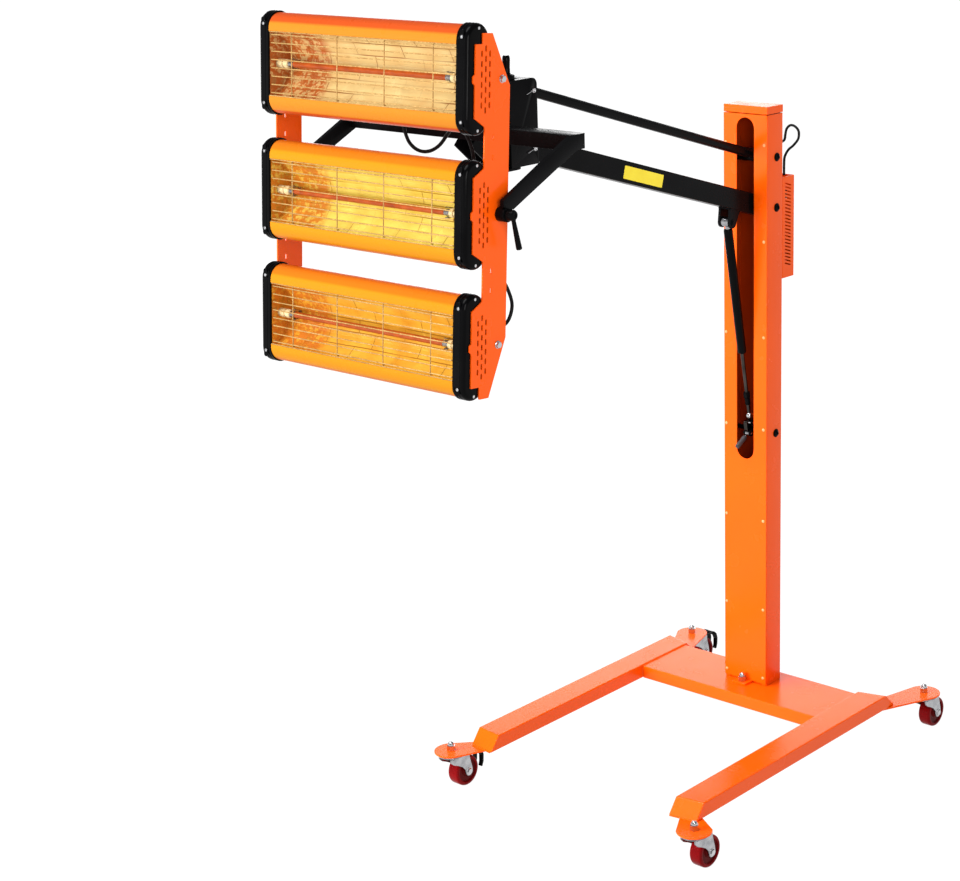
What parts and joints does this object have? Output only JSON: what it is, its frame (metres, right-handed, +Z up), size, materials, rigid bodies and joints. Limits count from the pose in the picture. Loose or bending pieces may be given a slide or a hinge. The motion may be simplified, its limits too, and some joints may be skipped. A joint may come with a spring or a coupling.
{
  "type": "infrared paint curing lamp",
  "caption": "Infrared paint curing lamp: cassettes with guarded quartz tubes on a tilting yoke, a spring-balanced parallelogram arm, a slotted column and an H-shaped base on casters",
  "frame": {"origin": "on the floor, under the middle of the whole lamp's box", "axes": "+X to the lamp's right seen from the front, -Y the way the lamps face, +Z up; the column stands at the back"},
  "size_m": [0.664, 1.3624, 1.5787],
  "materials": {
    "orange_paint": "glossy orange powder coat",
    "black_paint": "satin black powder coat",
    "zinc_plate": "bright zinc plate",
    "red_wheel": "red polyurethane tread",
    "polished_aluminium": "polished reflector sheet",
    "steel_wire": "bright steel wire",
    "quartz": "clear quartz",
    "black_plastic": "black moulded plastic",
    "black_cable": "black cable sheath"
  },
  "bodies": {
    "base": {"left_leg": "orange_paint", "right_leg": "orange_paint", "cross_beam": "orange_paint", "column_shell": "orange_paint", "column_front_panel": "orange_paint", "column_cap": "orange_paint", "control_box_shell": "orange_paint", "control_box_cover": "orange_paint", "arm_column_pin": "black_paint", "link_column_pin": "black_paint", "gas_spring_anchor": "black_paint", "column_cable": "black_cable"},
    "front_left_caster": {"front_left_caster_fork": "zinc_plate"},
    "front_left_wheel": {"front_left_caster_wheel": "red_wheel"},
    "front_left_pedal": {"front_left_brake_pedal": "black_paint"},
    "front_right_caster": {"front_right_caster_fork": "zinc_plate"},
    "front_right_wheel": {"front_right_caster_wheel": "red_wheel"},
    "rear_left_caster": {"rear_left_caster_fork": "zinc_plate"},
    "rear_left_wheel": {"rear_left_caster_wheel": "red_wheel"},
    "rear_left_pedal": {"rear_left_brake_pedal": "black_paint"},
    "rear_right_caster": {"rear_right_caster_fork": "zinc_plate"},
    "rear_right_wheel": {"rear_right_caster_wheel": "red_wheel"},
    "switch_1": {"lamp_switch_1": "black_plastic"},
    "switch_2": {"lamp_switch_2": "black_plastic"},
    "switch_3": {"lamp_switch_3": "black_plastic"},
    "arm": {"main_arm": "black_paint"},
    "link": {"upper_link": "black_paint"},
    "bracket": {"head_bracket": "black_paint", "arm_bracket_pin": "zinc_plate", "link_bracket_pin": "zinc_plate"},
    "spring_cylinder": {"gas_spring_cylinder": "black_paint"},
    "spring_rod": {"gas_spring_rod": "zinc_plate"},
    "release_lever": {"gas_release_lever": "black_plastic"},
    "yoke_arm": {"yoke": "black_paint"},
    "knob": {"swivel_knob": "black_paint"},
    "left_clamp": {"left_clamp_lever": "black_paint"},
    "right_clamp": {"right_clamp_lever": "black_paint"},
    "head": {"left_side_plate": "orange_paint", "right_side_plate": "orange_paint", "top_tie_bar": "black_paint", "bottom_tie_bar": "black_paint", "top_housing": "orange_paint", "top_reflector": "polished_aluminium", "top_quartz_tube": "quartz", "top_wire_guard": "steel_wire", "top_left_end_cap": "black_plastic", "top_right_end_cap": "black_plastic", "middle_housing": "orange_paint", "middle_reflector": "polished_aluminium", "middle_quartz_tube": "quartz", "middle_wire_guard": "steel_wire", "middle_left_end_cap": "black_plastic", "middle_right_end_cap": "black_plastic", "bottom_housing": "orange_paint", "bottom_reflector": "polished_aluminium", "bottom_quartz_tube": "quartz", "bottom_wire_guard": "steel_wire", "bottom_left_end_cap": "black_plastic", "bottom_right_end_cap": "black_plastic", "head_harness": "black_cable"}
  },
  "joints": [
    {"name": "front_left_swivel", "type": "hinge", "parent": "base", "child": "front_left_caster", "pos_m": [-0.298, -0.19959, 0.077], "axis": [0, 0, 1], "continuous": true},
    {"name": "front_left_roll", "type": "hinge", "parent": "front_left_caster", "child": "front_left_wheel", "pos_m": [-0.298, -0.16759, 0.0318], "axis": [1, 0, 0], "continuous": true},
    {"name": "front_left_brake", "type": "hinge", "parent": "front_left_caster", "child": "front_left_pedal", "pos_m": [-0.298, -0.17559, 0.068], "axis": [-1, 0, 0], "range_deg": [0, 8]},
    {"name": "front_right_swivel", "type": "hinge", "parent": "base", "child": "front_right_caster", "pos_m": [0.298, -0.18159, 0.077], "axis": [0, 0, 1], "continuous": true},
    {"name": "front_right_roll", "type": "hinge", "parent": "front_right_caster", "child": "front_right_wheel", "pos_m": [0.298, -0.14959, 0.0318], "axis": [1, 0, 0], "continuous": true},
    {"name": "rear_left_swivel", "type": "hinge", "parent": "base", "child": "rear_left_caster", "pos_m": [-0.298, 0.59341, 0.077], "axis": [0, 0, 1], "continuous": true},
    {"name": "rear_left_roll", "type": "hinge", "parent": "rear_left_caster", "child": "rear_left_wheel", "pos_m": [-0.298, 0.62541, 0.0318], "axis": [1, 0, 0], "continuous": true},
    {"name": "rear_left_brake", "type": "hinge", "parent": "rear_left_caster", "child": "rear_left_pedal", "pos_m": [-0.298, 0.61741, 0.068], "axis": [-1, 0, 0], "range_deg": [0, 8]},
    {"name": "rear_right_swivel", "type": "hinge", "parent": "base", "child": "rear_right_caster", "pos_m": [0.298, 0.61741, 0.077], "axis": [0, 0, 1], "continuous": true},
    {"name": "rear_right_roll", "type": "hinge", "parent": "rear_right_caster", "child": "rear_right_wheel", "pos_m": [0.298, 0.64941, 0.0318], "axis": [1, 0, 0], "continuous": true},
    {"name": "switch_1_rock", "type": "hinge", "parent": "base", "child": "switch_1", "pos_m": [-0.028, 0.48241, 1.1388], "axis": [1, 0, 0], "range_deg": [-8, 8]},
    {"name": "switch_2_rock", "type": "hinge", "parent": "base", "child": "switch_2", "pos_m": [0, 0.48241, 1.1388], "axis": [1, 0, 0], "range_deg": [-8, 8]},
    {"name": "switch_3_rock", "type": "hinge", "parent": "base", "child": "switch_3", "pos_m": [0.028, 0.48241, 1.1388], "axis": [1, 0, 0], "range_deg": [-8, 8]},
    {"name": "arm_lift", "type": "hinge", "parent": "base", "child": "arm", "pos_m": [0, 0.42121, 1.122], "axis": [-1, 0, 0], "range_deg": [-38, 15]},
    {"name": "link_lift", "type": "hinge", "parent": "base", "child": "link", "pos_m": [0, 0.42121, 1.222], "axis": [-1, 0, 0], "range_deg": [-38.5, 15.5]},
    {"name": "bracket_level", "type": "hinge", "parent": "arm", "child": "bracket", "pos_m": [0, -0.25441, 1.32341], "axis": [-1, 0, 0], "range_deg": [-15.5, 38.5]},
    {"name": "spring_tilt", "type": "hinge", "parent": "arm", "child": "spring_cylinder", "pos_m": [0, 0.32826, 1.10213], "axis": [-1, 0, 0], "range_deg": [-16.5, 40.5]},
    {"name": "spring_stroke", "type": "slide", "parent": "spring_cylinder", "child": "spring_rod", "axis": [0, 0.1781, -0.984], "range_m": [-0.063, 0.026]},
    {"name": "gas_release", "type": "hinge", "parent": "base", "child": "release_lever", "pos_m": [0, 0.39841, 0.6548], "axis": [-1, 0, 0], "range_deg": [0, 25], "stiffness_Nm_per_rad": 0.05, "springref_deg": -11.46},
    {"name": "head_swivel", "type": "hinge", "parent": "bracket", "child": "yoke_arm", "pos_m": [0, -0.29961, 1.4], "axis": [0, 0, 1], "range_deg": [-80, 80]},
    {"name": "knob_turn", "type": "hinge", "parent": "yoke_arm", "child": "knob", "pos_m": [0, -0.29961, 1.46], "axis": [0, 0, 1], "range_deg": [-180, 180]},
    {"name": "head_tilt", "type": "hinge", "parent": "yoke_arm", "child": "head", "pos_m": [0, -0.58491, 1.28281], "axis": [1, 0, 0], "range_deg": [-38, 86]},
    {"name": "left_clamp_turn", "type": "hinge", "parent": "yoke_arm", "child": "left_clamp", "pos_m": [-0.262, -0.58491, 1.28281], "axis": [1, 0, 0], "range_deg": [-90, 90]},
    {"name": "right_clamp_turn", "type": "hinge", "parent": "yoke_arm", "child": "right_clamp", "pos_m": [0.262, -0.58491, 1.28281], "axis": [1, 0, 0], "range_deg": [-90, 90]}
  ],
  "couplings": [
    {"joint": "link_lift", "follows": "arm_lift", "ratio": 1},
    {"joint": "bracket_level", "follows": "arm_lift", "ratio": -1},
    {"joint": "spring_tilt", "follows": "arm_lift", "ratio": -1.055},
    {"joint": "spring_stroke", "follows": "arm_lift", "m_per_rad": 0.093}
  ]
}
